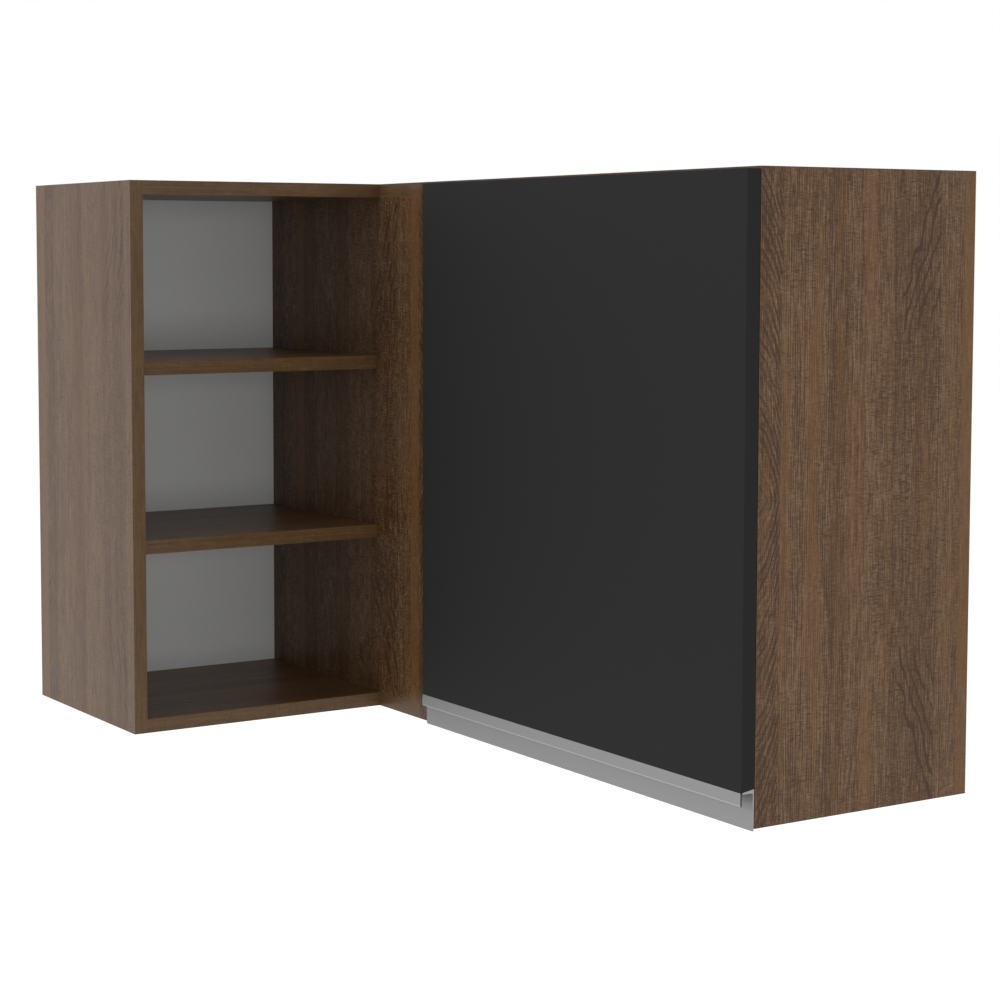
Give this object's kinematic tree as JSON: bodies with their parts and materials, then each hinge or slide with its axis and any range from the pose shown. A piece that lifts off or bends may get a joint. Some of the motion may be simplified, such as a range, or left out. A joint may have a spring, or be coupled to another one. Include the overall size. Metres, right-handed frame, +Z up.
{
  "type": "corner wall cabinet",
  "caption": "Corner wall cabinet with an open shelved niche on one wall and a cupboard with a side-hung door and full-width grip profile on the other.",
  "frame": {"origin": "inner corner of the room behind the cabinet, level with the underside of the carcass", "axes": "+Z up; wall 1 is the plane y = 0 behind the niche wing, which faces -Y; wall 2 is the plane x = 0 behind the cupboard wing, whose door faces -X"},
  "size_m": [0.687, 1.12, 0.7225],
  "materials": {
    "oak_laminate": "matte",
    "back_hardboard": "satin",
    "batten_wood": "matte",
    "zinc_steel": "satin",
    "zinc_casting": "satin",
    "nickel_hinge": "polished",
    "black_door": "matte",
    "satin_aluminium": "satin",
    "clear_bumper": "satin"
  },
  "bodies": {
    "carcass": {"arm_pins": "zinc_steel", "arm_screws": "zinc_steel", "back_panel_nails": "zinc_steel", "cam_bolts": "zinc_steel", "cam_locks": "zinc_casting", "corner_post": "oak_laminate", "corner_stile": "oak_laminate", "cupboard_back_panel": "back_hardboard", "cupboard_bottom_panel": "oak_laminate", "cupboard_shelf": "oak_laminate", "cupboard_top_panel": "oak_laminate", "dowels": "batten_wood", "hanging_batten_corner": "batten_wood", "hanging_batten_long": "batten_wood", "hinge_arms": "nickel_hinge", "joining_plate_screws": "zinc_steel", "joining_plates": "zinc_steel", "keyhole_hangers": "zinc_steel", "keyhole_screws": "zinc_steel", "left_end_panel": "oak_laminate", "mounting_plates": "nickel_hinge", "niche_back_panel": "back_hardboard", "niche_bottom_panel": "oak_laminate", "niche_shelf_lower": "oak_laminate", "niche_shelf_upper": "oak_laminate", "niche_top_panel": "oak_laminate", "partition_panel": "oak_laminate", "plate_screws": "zinc_steel", "right_end_panel": "oak_laminate", "shelf_support_pins": "zinc_steel"},
    "hinge_link": {"hinge_links": "nickel_hinge"},
    "door": {"door_panel": "black_door", "handle_profile": "satin_aluminium", "handle_profile_screws": "zinc_steel", "door_bumpers": "clear_bumper", "hinge_cups": "nickel_hinge", "cup_screws": "zinc_steel", "cup_pins": "zinc_steel"}
  },
  "joints": [
    {"name": "link_swing", "type": "hinge", "parent": "carcass", "child": "hinge_link", "pos_m": [-0.31, -1.084, 0.37925], "axis": [0, 0, 1], "range_deg": [-52.5, 0]},
    {"name": "door_swing", "type": "hinge", "parent": "hinge_link", "child": "door", "pos_m": [-0.32, -1.108, 0.37925], "axis": [0, 0, 1], "range_deg": [0, 157.5]}
  ],
  "couplings": [
    {"joint": "door_swing", "follows": "link_swing", "ratio": -3}
  ]
}
